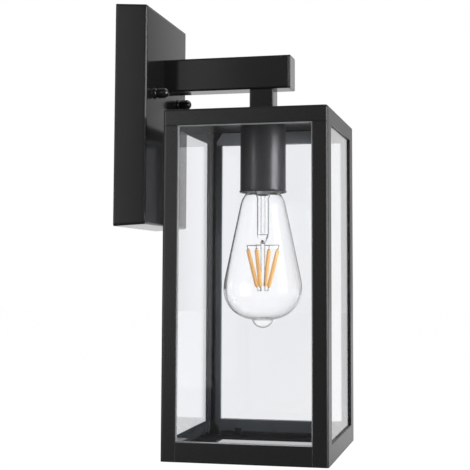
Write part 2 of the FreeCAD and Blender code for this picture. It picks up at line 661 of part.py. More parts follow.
def screw_shell():
    """Brass tube that takes the bulb's screw base; a lug on its collar rises to the neutral lead."""
    top = BULB_CONTACT - 3.0
    foot = HOLDER_FOOT + 1.5
    outer = SHELL_BORE + SHELL_THICKNESS
    outline = [(outer, foot), (outer, top), (SHELL_BORE - 2.5, top),
               (SHELL_BORE - 2.5, top - SHELL_THICKNESS), (SHELL_BORE, top - SHELL_THICKNESS),
               (SHELL_BORE, foot)]
    lug = block((SHELL_BORE - 2.5, LANTERN_Y - 2.0, top - SHELL_THICKNESS),
                (SHELL_BORE - 2.5 + SHELL_THICKNESS, LANTERN_Y + 2.0, CONTACT_SEAT))
    return revolved(outline, (0, LANTERN_Y, 0)).fuse(lug)


def centre_contact():
    """Sprung brass tongue, riveted at one end and bent down over the bulb's contact."""
    under = CONTACT_SEAT - CONTACT_THICKNESS
    tongue_low = BULB_CONTACT + CONTACT_GAP
    profile = [(-8.0, CONTACT_SEAT), (-3.0, CONTACT_SEAT), (3.5, tongue_low + CONTACT_THICKNESS),
               (3.5, tongue_low), (-3.0, under), (-8.0, under)]
    strip = polygon([(x, LANTERN_Y - 3.0, z) for x, z in profile]).extrude(V(0, 6.0, 0))
    rivet = rod(1.5, (-6.0, LANTERN_Y, under), (-6.0, LANTERN_Y, under - 0.7))
    return strip.fuse(rivet)


# ---- bulb ----
def touching_circle(first, first_reach, second, second_reach):
    """The centre, out from the axis, that lies at a distance from each of two centres."""
    span = V(*second) - V(*first)
    along = (first_reach ** 2 - second_reach ** 2 + span.Length ** 2) / (2 * span.Length)
    aside = math.sqrt(first_reach ** 2 - along ** 2)
    unit = span.normalize()
    outward = V(-unit.z, 0, unit.x)
    return V(*first) + unit * along + outward * aside


def bulb_section(inset):
    """Half section of the envelope: tangent arcs and one straight flank, from the neck to the nub."""
    lean = math.hypot(1, FLANK_LEAN)
    square = V(1 / lean, 0, FLANK_LEAN / lean)
    girth = V(BULB_RADIUS - FLANK_RADIUS, 0, BULB_FOOT + BULB_GIRTH_RISE)
    bowl = V(BULB_RADIUS - BOWL_RADIUS, 0, girth.z)
    spread = FOOT_RADIUS - BOWL_RADIUS
    foot = V(0, 0, bowl.z + math.sqrt(spread ** 2 - bowl.x ** 2))
    flank_foot = girth + square * FLANK_RADIUS
    flank_top_z = BULB_CONTACT - SHOULDER_DROP
    flank_top = V(flank_foot.x - FLANK_LEAN * (flank_top_z - flank_foot.z), 0, flank_top_z)
    shoulder = flank_top - square * SHOULDER_RADIUS
    neck_x = NECK_RADIUS + NECK_FILLET
    rise = math.sqrt((SHOULDER_RADIUS + NECK_FILLET) ** 2 - (neck_x - shoulder.x) ** 2)
    neck = V(neck_x, 0, shoulder.z + rise)
    ball = V(0, 0, BULB_FOOT + NUB_RADIUS)
    fillet = touching_circle(ball, NUB_RADIUS + NUB_FILLET, foot, FOOT_RADIUS + NUB_FILLET)
    fillet = V(abs(fillet.x), 0, fillet.z)
    inner_neck = NECK_RADIUS - inset
    edges = [line(V(0, 0, NECK_TOP), V(inner_neck, 0, NECK_TOP)),
             line(V(inner_neck, 0, NECK_TOP), V(inner_neck, 0, neck.z)),
             arc(neck, NECK_FILLET + inset, V(-1, 0, 0), shoulder - neck),
             arc(shoulder, SHOULDER_RADIUS - inset, neck - shoulder, square),
             line(flank_top - square * inset, flank_foot - square * inset),
             arc(girth, FLANK_RADIUS - inset, square, V(1, 0, 0)),
             arc(bowl, BOWL_RADIUS - inset, V(1, 0, 0), bowl - foot),
             arc(foot, FOOT_RADIUS - inset, bowl - foot, fillet - foot),
             arc(fillet, NUB_FILLET + inset, foot - fillet, ball - fillet),
             arc(ball, NUB_RADIUS - inset, fillet - ball, V(0, 0, -1)),
             line(V(0, 0, BULB_FOOT + inset), V(0, 0, NECK_TOP))]
    return Part.Face(Part.Wire(edges))


def bulb_glass():
    """Blown pear-shaped envelope, hollow down into the sealed-off nub at its foot."""
    outside = bulb_section(0).revolve(V(0, 0, 0), Z_AXIS, 360)
    inside = bulb_section(GLASS_WALL).revolve(V(0, 0, 0), Z_AXIS, 360)
    glass = outside.cut(inside)
    glass.translate(V(0, LANTERN_Y, 0))
    return glass


def bulb_base_shell():
    """Screw base: thin shell round the neck, closed at the top by a cone round the insulator."""
    outer = BASE_SHELL_RADIUS
    inner = outer - BASE_SHELL_WALL
    outline = [(outer, BASE_SHELL_FOOT), (outer, BASE_SHELL_TOP), (9.0, BASE_SHELL_TOP + 1.8),
               (9.0, BASE_SHELL_TOP + 1.3), (inner, BASE_SHELL_TOP - 0.5), (inner, BASE_SHELL_FOOT)]
    return revolved(outline, (0, LANTERN_Y, 0))


def bulb_insulator():
    """Black glass button between the shell and the centre contact."""
    outline = [(0, BASE_SHELL_TOP + 1.0), (8.9, BASE_SHELL_TOP + 1.0), (8.9, BASE_SHELL_TOP + 2.2),
               (5.0, BULB_CONTACT - 1.4), (0, BULB_CONTACT - 1.4)]
    return revolved(outline, (0, LANTERN_Y, 0))


def bulb_contact():
    """Soldered centre contact."""
    outline = [(0, BULB_CONTACT - 1.4), (4.6, BULB_CONTACT - 1.4), (3.8, BULB_CONTACT - 0.5),
               (2.2, BULB_CONTACT), (0, BULB_CONTACT)]
    return revolved(outline, (0, LANTERN_Y, 0))


def bulb_mount():
    """Glass stem: a tube flared at the neck, an exhaust tube inside it, and the press at its foot."""
    tube_bore = STEM_TUBE_RADIUS - STEM_TUBE_WALL
    flare = NECK_RADIUS - GLASS_WALL - 0.05
    outline = [(0, PRESS_TOP), (STEM_TUBE_RADIUS, PRESS_TOP), (STEM_TUBE_RADIUS, NECK_TOP - 12.0),
               (7.0, NECK_TOP - 5.0), (flare, NECK_TOP - 1.0), (flare, NECK_TOP), (flare - 1.3, NECK_TOP),
               (6.1, NECK_TOP - 4.6), (tube_bore, NECK_TOP - 12.0), (tube_bore, PRESS_TOP + 1.5),
               (EXHAUST_RADIUS, PRESS_TOP + 1.0), (EXHAUST_RADIUS, NECK_TOP),
               (EXHAUST_BORE, NECK_TOP), (EXHAUST_BORE, PRESS_TOP + 2.5), (0, PRESS_TOP + 2.5)]
    stem_glass = revolved(outline, (0, LANTERN_Y, 0))
    half_width = STEM_TUBE_RADIUS + 0.7
    press = Part.makeLoft([
        Part.Wire(Part.makeCircle(STEM_TUBE_RADIUS, V(0, LANTERN_Y, PRESS_TOP))),
        Part.Wire(Part.Ellipse(V(0, LANTERN_Y, PRESS_FOOT), half_width, PRESS_THICKNESS / 2).toShape()),
    ], True)
    return stem_glass.fuse(press)


def around(radius, turn, z):
    """A point at a radius and a turn about the lantern's axis."""
    angle = math.radians(turn)
    return (radius * math.sin(angle), LANTERN_Y + radius * math.cos(angle), z)


def along_stick(turn, down):
    """A point on a stick's axis, from its top at 0 to its foot at 1, or past either end."""
    radius = STICK_TOP_RADIUS + (STICK_FOOT_RADIUS - STICK_TOP_RADIUS) * down
    return around(radius, turn, STICK_TOP - STICK_LENGTH * down)


def bulb_filaments():
    """Four coated sticks, set as the edges of a narrow cone."""
    turns = [STICK_TURN + 90 * quarter for quarter in range(4)]
    return Part.makeCompound([rod(STICK_RADIUS, along_stick(turn, 0), along_stick(turn, 1))
                              for turn in turns])


def bulb_carriers():
    """Two middle wires from the press; arms hang the sticks from them, and fine links tie the feet."""
    reach = 0.09
    cross = along_stick(0, -reach)[2]
    hub = along_stick(0, 1 + reach)[2]
    middles = [(0, LANTERN_Y + side * CARRIER_SPACING / 2) for side in (1, -1)]
    pieces = [rod(CARRIER_RADIUS + 0.1, (*middle, PRESS_FOOT), (*middle, hub)) for middle in middles]
    for quarter in range(4):
        turn = STICK_TURN + 90 * quarter
        middle = middles[0] if quarter in (0, 3) else middles[1]
        high = along_stick(turn, -reach)
        low = along_stick(turn, 1 + reach)
        pieces.append(rod(CARRIER_RADIUS, (*middle, cross), high))
        pieces.append(Part.makeSphere(CARRIER_RADIUS, V(*high)))
        pieces.append(rod(CARRIER_RADIUS, high, along_stick(turn, 0)))
        pieces.append(rod(LINK_RADIUS, (*middle, hub), low))
        pieces.append(Part.makeSphere(CARRIER_RADIUS, V(*low)))
        pieces.append(rod(CARRIER_RADIUS, low, along_stick(turn, 1)))
    return pieces[0].fuse(pieces[1:])


# ---- leads ----
def fixture_lead(name, bore_x, terminal_x):
    """Lead from the lamp holder up the nipple and stem, along the arm and into the wall plate."""
    spread = math.copysign(5.0, bore_x)
    points = [(terminal_x, LANTERN_Y, CONTACT_SEAT + 0.7), (bore_x, LANTERN_Y, HOLDER_CAP_FOOT + 0.5, 6.0),
              (bore_x, LANTERN_Y, ARM_MIDDLE - 0.8, 15.0), (bore_x, -68.0, ARM_MIDDLE - 1.0, 120.0),
              (bore_x, -12.5, ARM_MIDDLE, 9.0), (bore_x + spread, -11.5, -38.0, 60.0),
              (bore_x + spread * 0.7, -10.5, -70.0)]
    return insulated_wire(name, points, LEAD_RADIUS)


def export_parts():
    os.makedirs("parts", exist_ok=True)
    parts = {
        "backplate": backplate(),
        "wall_gasket": wall_gasket(),
        "mounting_bar": mounting_bar(),
        "mounting_studs": mounting_studs(),
        "stud_lock_nuts": stud_lock_nuts(),
        "cap_nut_left": cap_nut(-1),
        "cap_nut_right": cap_nut(1),
        "ground_screw": ground_screw(),
        "ground_terminal": ground_terminal(),
        "ground_wire": ground_wire(),
        "arm": arm(),
        "arm_end_cap": arm_end_cap(),
        "arm_anchor": arm_anchor(),
        "arm_screws": arm_screws(),
        "lead_grommet": lead_grommet(),
        "stem": stem(),
        "stem_end_plate": stem_end_plate(),
        "roof": roof(),
        "pane_clips": pane_clips(),
        "socket_cup": socket_cup(),
        "threaded_nipple": threaded_nipple(),
        "nipple_washer": nipple_washer(),
        "nipple_nut": nipple_nut(),
        "holder_cap": holder_cap(),
        "lamp_holder": lamp_holder(),
        "screw_shell": screw_shell(),
        "centre_contact": centre_contact(),
        "bulb_glass": bulb_glass(),
        "bulb_base_shell": bulb_base_shell(),
        "bulb_insulator": bulb_insulator(),
        "bulb_contact": bulb_contact(),
        "bulb_mount": bulb_mount(),
        "bulb_filaments": bulb_filaments(),
        "bulb_carriers": bulb_carriers(),
        "live_lead": fixture_lead("live_lead", *LEAD_PLACES[0]),
        "neutral_lead": fixture_lead("neutral_lead", *LEAD_PLACES[1]),
    }
    for x_name, x_side in (("left", -1), ("right", 1)):
        for y_name, y_side in (("front", -1), ("back", 1)):
            parts[f"post_{y_name}_{x_name}"] = corner_post(x_side, y_side)
    sides = (("front", 0, FRONT_FLANGE, SEALANT_HIDDEN), ("right", 90, SIDE_FLANGE, SEALANT_SHOWING),
             ("back", 180, FRONT_FLANGE, SEALANT_HIDDEN), ("left", 270, SIDE_FLANGE, SEALANT_SHOWING))
    for name, degrees, flange, showing in sides:
        parts[f"base_rail_{name}"] = base_rail(degrees, flange)
        parts[f"pane_{name}"] = pane(degrees)
        parts[f"sealant_{name}"] = pane_sealant(degrees, flange, showing)
    for name, shape in parts.items():
        if not shape.isValid() or not shape.Solids:
            raise ValueError(f"{name} is not a valid solid")
        shape.exportStep(f"parts/{name}.step")
        print(name, len(shape.Solids), round(shape.Volume, 1))


export_parts()
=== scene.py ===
import math
import bpy
from mathutils import Matrix, Vector


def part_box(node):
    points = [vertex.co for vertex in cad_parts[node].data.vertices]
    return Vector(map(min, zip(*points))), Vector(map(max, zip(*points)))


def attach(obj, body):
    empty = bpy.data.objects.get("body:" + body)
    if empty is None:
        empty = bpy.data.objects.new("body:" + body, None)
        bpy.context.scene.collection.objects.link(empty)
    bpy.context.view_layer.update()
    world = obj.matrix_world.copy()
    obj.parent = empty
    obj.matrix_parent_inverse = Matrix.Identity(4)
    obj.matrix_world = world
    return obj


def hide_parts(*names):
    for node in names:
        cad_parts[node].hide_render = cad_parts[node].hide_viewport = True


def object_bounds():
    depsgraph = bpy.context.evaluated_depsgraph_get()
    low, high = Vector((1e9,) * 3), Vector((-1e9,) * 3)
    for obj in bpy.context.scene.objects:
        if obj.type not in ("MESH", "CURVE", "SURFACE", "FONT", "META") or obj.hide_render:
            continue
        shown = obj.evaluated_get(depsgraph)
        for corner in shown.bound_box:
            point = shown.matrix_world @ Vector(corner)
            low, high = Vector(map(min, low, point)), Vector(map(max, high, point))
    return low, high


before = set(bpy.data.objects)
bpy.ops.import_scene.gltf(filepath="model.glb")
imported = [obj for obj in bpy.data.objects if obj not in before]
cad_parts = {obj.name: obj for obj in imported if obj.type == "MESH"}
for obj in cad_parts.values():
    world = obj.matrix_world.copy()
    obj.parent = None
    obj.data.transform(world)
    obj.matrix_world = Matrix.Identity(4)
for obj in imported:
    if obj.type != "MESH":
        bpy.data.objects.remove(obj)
cad_low, cad_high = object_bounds()


# ---- Wall plate ----
# A shallow pan pressed from 1.5 mm sheet steel, its corners rounded, sprayed with black powder
# and baked. It hangs on two studs and carries the arm on two screws from inside.
mm = 0.001
# A Mix node's sockets share their names, so those for colours go by number.
colour_a, colour_b, mixed_colour = 6, 7, 2


def linear(hex_colour):
    """An sRGB hex colour as the linear colour that a shader takes."""
    parts = [int(hex_colour[i:i + 2], 16) / 255 for i in (1, 3, 5)]
    return tuple(p / 12.92 if p <= 0.04045 else ((p + 0.055) / 1.055) ** 2.4
                 for p in parts) + (1.0,)


def add_node(material, kind, values=None, links=None, **settings):
    """Adds a node to a material, with its settings, its socket values and its links."""
    node = material.node_tree.nodes.new(kind)
    for field, value in settings.items():
        setattr(node, field, value)
    for socket, value in (values or {}).items():
        node.inputs[socket].default_value = value
    for socket, source in (links or {}).items():
        material.node_tree.links.new(source, node.inputs[socket])
    return node


def new_material(name, **values):
    """A material and its shader, with the values that are the same all over the surface."""
    material = bpy.data.materials.new(name)
    material.use_nodes = True
    shader = material.node_tree.nodes["Principled BSDF"]
    for socket, value in values.items():
        shader.inputs[socket.replace("_", " ")].default_value = value
    return material, shader


def feed(material, shader, sources):
    """Links a shader's sockets to the nodes that vary them over the surface."""
    for socket, source in sources.items():
        material.node_tree.links.new(source, shader.inputs[socket])


def dress(material, *names):
    """Gives CAD nodes a finish through their material slots."""
    for name in names:
        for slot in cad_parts[name].material_slots:
            slot.material = material


# Polyester powder coat, half gloss, sprayed and baked: soft black with a fine grain that breaks up
# the sheen, flowed round over every edge. The real grain is about 0.3 mm across, too fine to show,
# so it is drawn at 1.1 mm. The black drifts a little in clouds of 26 mm, as the coat's depth does.
def powder_coat(name, colour, shade, roughness, grain_depth, edge_radius):
    """A coat in two close blacks, with its roughness, its grain's depth and its edges' radius."""
    grain_size, cloud_size = 1.11 * mm, 26.3 * mm
    material, shader = new_material(name, IOR=1.6)
    place = add_node(material, "ShaderNodeTexCoord").outputs["Object"]
    grain = add_node(material, "ShaderNodeTexNoise",
                     {"Scale": 1 / grain_size, "Detail": 3.0, "Roughness": 0.6},
                     {"Vector": place})
    cloud = add_node(material, "ShaderNodeTexNoise",
                     {"Scale": 1 / cloud_size, "Detail": 4.0, "Roughness": 0.55},
                     {"Vector": place})
    tone = add_node(material, "ShaderNodeMix",
                    {colour_a: linear(colour), colour_b: linear(shade)},
                    {"Factor": cloud.outputs["Fac"]}, data_type="RGBA")
    dryness = add_node(material, "ShaderNodeMapRange",
                       {"From Min": 0.3, "From Max": 0.7,
                        "To Min": roughness - 0.03, "To Max": roughness + 0.04},
                       {"Value": grain.outputs["Fac"]})
    rounded = add_node(material, "ShaderNodeBevel", {"Radius": edge_radius}, samples=4)
    bump = add_node(material, "ShaderNodeBump", {"Strength": 0.35, "Distance": grain_depth},
                    {"Height": grain.outputs["Fac"], "Normal": rounded.outputs["Normal"]})
    feed(material, shader, {"Base Color": tone.outputs[mixed_colour],
                            "Roughness": dryness.outputs["Result"],
                            "Normal": bump.outputs["Normal"]})
    return material


dress(powder_coat("black_powder_coat_on_pressed_pan", "#101011", "#161617", roughness=0.14,
                  grain_depth=0.016 * mm, edge_radius=1.8 * mm), "backplate")


# ---- Foam strip ----
# Closed-cell foam tape stuck inside the plate's rim to seal it against the wall. Cut cells, about
# 0.9 mm across, leave it matt and pitted.
foam_skin, foam_shader = new_material("closed_cell_foam", Roughness=0.92, IOR=1.45)
foam_place = add_node(foam_skin, "ShaderNodeTexCoord").outputs["Object"]
foam_cells = add_node(foam_skin, "ShaderNodeTexVoronoi", {"Scale": 1 / (0.91 * mm)},
                      {"Vector": foam_place})
foam_tone = add_node(foam_skin, "ShaderNodeMix",
                     {colour_a: linear("#151515"), colour_b: linear("#2e2e2e")},
                     {"Factor": foam_cells.outputs["Distance"]}, data_type="RGBA")
foam_bump = add_node(foam_skin, "ShaderNodeBump", {"Strength": 0.7, "Distance": 0.3 * mm},
                     {"Height": foam_cells.outputs["Distance"]})
feed(foam_skin, foam_shader, {"Base Color": foam_tone.outputs[mixed_colour],
                              "Normal": foam_bump.outputs["Normal"]})
dress(foam_skin, "wall_gasket")


# ---- Mounting bar, studs and lock nuts ----
# Stamped strap of zinc-plated steel with a slot at each end for the electrical box's screws. Two
# M4 studs stand out of it, each locked by a nut.

# Zinc plate over rolled steel: cloudy, faintly blue and straw in patches of 7 mm, over the streaks
# that rolling left, about 17 mm long. They are 0.1 mm wide, too fine to show, and drawn at 1.1 mm.
def plated_steel(name, bright, shade, roughness):
    """Plated steel in two close tones, whose roughness and height follow its streaks."""
    patch_size, streak_length, streak_width = 7.14 * mm, 16.7 * mm, 1.11 * mm
    material, shader = new_material(name, Metallic=1.0)
    place = add_node(material, "ShaderNodeTexCoord").outputs["Object"]
    cloud = add_node(material, "ShaderNodeTexNoise",
                     {"Scale": 1 / patch_size, "Detail": 5.0, "Roughness": 0.6, "Distortion": 0.4},
                     {"Vector": place})
    drawn = add_node(material, "ShaderNodeMapping",
                     {"Scale": (1 / streak_length, 1 / streak_width, 1 / streak_width)},
                     {"Vector": place})
    streak = add_node(material, "ShaderNodeTexNoise", {"Scale": 1.0, "Detail": 3.0},
                      {"Vector": drawn.outputs["Vector"]})
    tone = add_node(material, "ShaderNodeMix",
                    {colour_a: linear(bright), colour_b: linear(shade)},
                    {"Factor": cloud.outputs["Fac"]}, data_type="RGBA")
    haze = add_node(material, "ShaderNodeMapRange",
                    {"From Min": 0.25, "From Max": 0.75,
                     "To Min": roughness - 0.08, "To Max": roughness + 0.12},
                    {"Value": streak.outputs["Fac"]})
    rounded = add_node(material, "ShaderNodeBevel", {"Radius": 0.2 * mm}, samples=4)
    bump = add_node(material, "ShaderNodeBump", {"Strength": 0.2, "Distance": 0.08 * mm},
                    {"Height": streak.outputs["Fac"], "Normal": rounded.outputs["Normal"]})
    feed(material, shader, {"Base Color": tone.outputs[mixed_colour],
                            "Roughness": haze.outputs["Result"],
                            "Normal": bump.outputs["Normal"]})
    return material


zinc = plated_steel("zinc_plated_steel", "#c3c6ca", "#a8a597", roughness=0.34)
dress(zinc, "mounting_bar", "stud_lock_nuts", "arm_anchor", "arm_screws", "stem_end_plate",
      "threaded_nipple", "nipple_washer", "nipple_nut", "holder_cap")


def take_up(*pieces):
    """Selects these pieces alone, the first of them active."""
    bpy.ops.object.select_all(action="DESELECT")
    for piece in pieces:
        piece.select_set(True)
    bpy.context.view_layer.objects.active = pieces[0]


def settle(piece):
    """Puts a finished piece's place, turn and size into its mesh."""
    take_up(piece)
    bpy.ops.object.transform_apply(location=True, rotation=True, scale=True)


def apply_all(piece):
    """Applies a piece's modifiers, first to last."""
    take_up(piece)
    for modifier in list(piece.modifiers):
        bpy.ops.object.modifier_apply(modifier=modifier.name)


def join_pieces(name, *pieces):
    """Joins pieces into the first of them, under a new name."""
    take_up(*pieces)
    if len(pieces) > 1:
        bpy.ops.object.join()
    pieces[0].name = name
    return pieces[0]


def copies(piece, count):
    """A piece and its copies, each with its own mesh."""
    made = [piece]
    for _ in range(count - 1):
        take_up(piece)
        bpy.ops.object.duplicate(linked=False)
        made.append(bpy.context.object)
    return made


def place_between(piece, foot, tip):
    """Stands a piece made along +Z from the origin on one point, towards another."""
    upright = (tip - foot).to_track_quat("Z", "Y").to_matrix().to_4x4()
    piece.matrix_world = Matrix.Translation(foot) @ upright
    settle(piece)


def rounded_rod(radius, length, middle, width, sides, segments):
    """A rod along +Z, bevelled on every edge, which rounds its ends and swells its side a little.

    Where the bevel is wider than a side of the rod, the skin overlaps itself.
    """
    bpy.ops.object.select_all(action="DESELECT")
    bpy.ops.mesh.primitive_cylinder_add(vertices=sides, radius=radius, depth=length,
                                        location=(0, 0, middle))
    rod = bpy.context.object
    settle(rod)
    bpy.ops.object.mode_set(mode="EDIT")
    bpy.ops.mesh.select_mode(type="EDGE")
    bpy.ops.mesh.select_all(action="SELECT")
    bpy.ops.mesh.bevel(offset=width, segments=segments)
    bpy.ops.object.mode_set(mode="OBJECT")
    return rod


def helical_ridge(ridge_radius, path_radius, low, pitch, sides, turns):
    """A ridge wound round +Z: a small polygon swept by the Screw modifier, with its ends closed."""
    steps_in_turn = 40
    bpy.ops.object.select_all(action="DESELECT")
    bpy.ops.mesh.primitive_circle_add(vertices=sides, radius=ridge_radius,
                                      location=(path_radius, 0, low),
                                      rotation=(math.pi / 2, 0, 0))
    ridge = bpy.context.object
    settle(ridge)
    screw = ridge.modifiers.new("thread", "SCREW")
    screw.axis = "Z"
    screw.angle = math.tau
    screw.screw_offset = pitch
    screw.iterations = turns
    screw.steps = steps_in_turn
    screw.render_steps = steps_in_turn
    apply_all(ridge)
    bpy.ops.object.mode_set(mode="EDIT")
    bpy.ops.mesh.select_mode(type="EDGE")
    bpy.ops.mesh.select_all(action="DESELECT")
    bpy.ops.mesh.select_non_manifold()
    bpy.ops.mesh.fill()
    bpy.ops.mesh.select_all(action="SELECT")
    bpy.ops.mesh.normals_make_consistent(inside=False)
    bpy.ops.object.mode_set(mode="OBJECT")
    return ridge


def threaded_stud(radius, length, pitch, chamfer):
    """A chamfered rod with a cut thread, along +Z from the origin."""
    core_radius, ridge_radius = radius - 0.275 * pitch, 0.42 * pitch
    core = rounded_rod(core_radius, length, length / 2, chamfer, sides=48, segments=2)
    ridge = helical_ridge(ridge_radius, radius - ridge_radius, pitch / 2, pitch,
                          sides=3, turns=int(length / pitch) - 1)
    stud = join_pieces("stud", core, ridge)
    stud.data.materials.clear()
    stud.data.materials.append(zinc)
    bpy.ops.object.shade_smooth_by_angle(angle=math.radians(35))
    return stud


stud_low, stud_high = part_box("mounting_studs")
stud_radius = (stud_high.z - stud_low.z) / 2
studs = copies(threaded_stud(stud_radius, stud_high.y - stud_low.y,
                             pitch=0.7 * mm, chamfer=0.4 * mm), 2)
for stud, x in zip(studs, (stud_low.x + stud_radius, stud_high.x - stud_radius)):
    place_between(stud, Vector((x, stud_high.y, 0)), Vector((x, stud_low.y, 0)))
threaded_studs = join_pieces("threaded_studs", *studs)
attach(threaded_studs, "fixture")
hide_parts("mounting_studs")


# ---- Cap nuts ----
# Turned steel nuts with a domed end and a flared foot, screwed onto the studs to hold the plate.
# They are painted black with it, and the paint lies thin enough to keep their edges crisp.
dress(powder_coat("smooth_black_paint", "#0a0a0b", "#141415", roughness=0.16,
                  grain_depth=0.03 * mm, edge_radius=0.3 * mm), "cap_nut_left", "cap_nut_right")


# ---- Ground screw, terminal and lead ----
# A green lacquered steel screw holds a ring terminal of tinned copper to the mounting bar, and a
# bare copper lead runs from it, all inside the plate.
def mottled(name, colour, shade, pattern, bump_strength=0.0, bump_depth=0.0, **values):
    """A finish in two close tones that drift with a noise, which may also raise it a little.

    Returns the material, its shader and the noise node.
    """
    material, shader = new_material(name, **values)
    place = add_node(material, "ShaderNodeTexCoord").outputs["Object"]
    patches = add_node(material, "ShaderNodeTexNoise", pattern, {"Vector": place})
    tone = add_node(material, "ShaderNodeMix",
                    {colour_a: linear(colour), colour_b: linear(shade)},
                    {"Factor": patches.outputs["Fac"]}, data_type="RGBA")
    feed(material, shader, {"Base Color": tone.outputs[mixed_colour]})
    if bump_depth:
        bump = add_node(material, "ShaderNodeBump",
                        {"Strength": bump_strength, "Distance": bump_depth},
                        {"Height": patches.outputs["Fac"]})
        feed(material, shader, {"Normal": bump.outputs["Normal"]})
    return material, shader, patches


# Metal left bright, or plated or tinned thinly: air dulls it in soft patches of about 4 mm, darker
# and hazier than the rest.
def bright_metal(name, bright, shade, roughness):
    """A bright metal in two close tones, whose haze follows its tarnish."""
    material, shader, tarnish = mottled(
        name, bright, shade, {"Scale": 1 / (3.85 * mm), "Detail": 5.0, "Roughness": 0.6},
        bump_strength=0.15, bump_depth=0.05 * mm, Metallic=1.0)
    haze = add_node(material, "ShaderNodeMapRange",
                    {"From Min": 0.3, "From Max": 0.7,
                     "To Min": roughness - 0.05, "To Max": roughness + 0.1},
                    {"Value": tarnish.outputs["Fac"]})
    feed(material, shader, {"Roughness": haze.outputs["Result"]})
    return material


dress(bright_metal("bare_copper", "#d9895f", "#a8603c", roughness=0.30), "ground_wire")
dress(bright_metal("tinned_copper", "#cfcac0", "#a9a59b", roughness=0.32), "ground_terminal")
# Clear green lacquer over steel: the metal shows through and gives it a glint.
green_lacquer = mottled("green_lacquer", "#1f7a3e", "#13522a",
                        {"Scale": 1 / (2.38 * mm), "Detail": 4.0},
                        bump_strength=0.2, bump_depth=0.06 * mm,
                        Roughness=0.35, IOR=1.5, Metallic=0.3)[0]
dress(green_lacquer, "ground_screw")


# ---- Arm and stem ----
# Rectangular steel tube with a plate welded in its front end, and a shorter tube welded below it,
# ground flush and given the plate's powder coat. A rubber grommet guards the leads in its root.
dress(powder_coat("black_powder_coat", "#101011", "#161617", roughness=0.14,
                  grain_depth=0.016 * mm, edge_radius=1.1 * mm), "arm", "arm_end_cap", "stem")

# Moulded rubber: dull black, with a faint grey bloom in patches of 3 mm.
rubber = mottled("moulded_rubber", "#121212", "#262625",
                 {"Scale": 1 / (2.86 * mm), "Detail": 4.0}, Roughness=0.7, IOR=1.5)[0]
dress(rubber, "lead_grommet")


# ---- Lantern frame ----
# Roof tray, four corner angles and four base rails of 1.2 mm steel, spot-welded, ground and powder
# coated. Their coat lies a little drier than the plate's, which spreads what it mirrors.
dress(powder_coat("drier_black_powder_coat", "#0c0c0d", "#121213", roughness=0.30,
                  grain_depth=0.016 * mm, edge_radius=1.4 * mm),
      "roof", "pane_clips",
      *[f"post_{y}_{x}" for y in ("front", "back") for x in ("left", "right")],
      *[f"base_rail_{side}" for side in ("front", "right", "back", "left")])


# ---- Glazing ----
# Four 3 mm panes of clear, colourless float glass with clipped corners, bedded in sealant behind
# the flanges and held at the foot by the clips.

# Clear glass, floated or blown: smooth, with a slow wave that bends a mirrored edge a little. Some
# of it mirrors less square on, by choice, to keep glare off the bulb. Lamps' rays pass it straight,
# so that the inside stays lit.
def clear_glass(name, colour, facing_gloss, wave_size, wave_depth):
    """Clear glass with a tint, a tint for what it mirrors square on, and the size of its wave."""
    material, shader, _ = mottled(
        name, colour, "#ffffff", {"Scale": 1 / wave_size, "Detail": 2.0},
        bump_strength=0.1, bump_depth=wave_depth,
        IOR=1.5, Roughness=0.0, Transmission_Weight=1.0, Specular_Tint=linear(facing_gloss))
    path = add_node(material, "ShaderNodeLightPath")
    open_way = add_node(material, "ShaderNodeBsdfTransparent", {"Color": linear("#f4f5f7")})
    both = add_node(material, "ShaderNodeMixShader", None,
                    {0: path.outputs["Is Shadow Ray"], 1: shader.outputs["BSDF"],
                     2: open_way.outputs["BSDF"]})
    feed(material, material.node_tree.nodes["Material Output"], {"Surface": both.outputs["Shader"]})
    return material


dress(clear_glass("clear_float_glass", "#fafbfe", facing_gloss="#ffffff",
                  wave_size=166.7 * mm, wave_depth=0.02 * mm), "pane_right", "pane_left")
dress(clear_glass("low_glare_float_glass", "#fafbfe", facing_gloss="#8c8c8c",
                  wave_size=166.7 * mm, wave_depth=0.02 * mm), "pane_front", "pane_back")


# Neutral-cure silicone, clear where it is pressed thin against the black flanges, cloudy in the
# rounded fillet tooled along the side panes' lips. Against the roof's skirt it is near white, a
# painted light that makes the inside of the skirt look lit. Its clouds are 8 mm across.
def clear_silicone(name, colour, shade, see_through):
    """Silicone in two close tones, of which a share lets light through."""
    return mottled(name, colour, shade, {"Scale": 1 / (8.33 * mm), "Detail": 3.0},
                   bump_strength=0.3, bump_depth=0.2 * mm,
                   Roughness=0.3, IOR=1.41, Transmission_Weight=see_through)[0]


silicone_film = clear_silicone("thin_clear_silicone", "#8d9192", "#a6a9a9", see_through=0.9)
# Near white: a painted light on the inside of the roof's skirt.
painted_light_silicone = clear_silicone("near_white_silicone_painted_light", "#e2e4e4", "#f0f1f1", see_through=0.1)
silicone_fillet = clear_silicone("cloudy_silicone_fillet", "#a4a8a8", "#c3c6c5", see_through=0.7)


def select_corners(piece, test):
    """Opens a piece in edit mode with the corners that pass a test selected."""
    take_up(piece)
    bpy.ops.object.mode_set(mode="EDIT")
    bpy.ops.mesh.select_mode(type="VERT")
    bpy.ops.mesh.select_all(action="DESELECT")
    bpy.ops.object.mode_set(mode="OBJECT")
    for corner in piece.data.vertices:
        corner.select = test(corner.co)
    bpy.ops.object.mode_set(mode="EDIT")


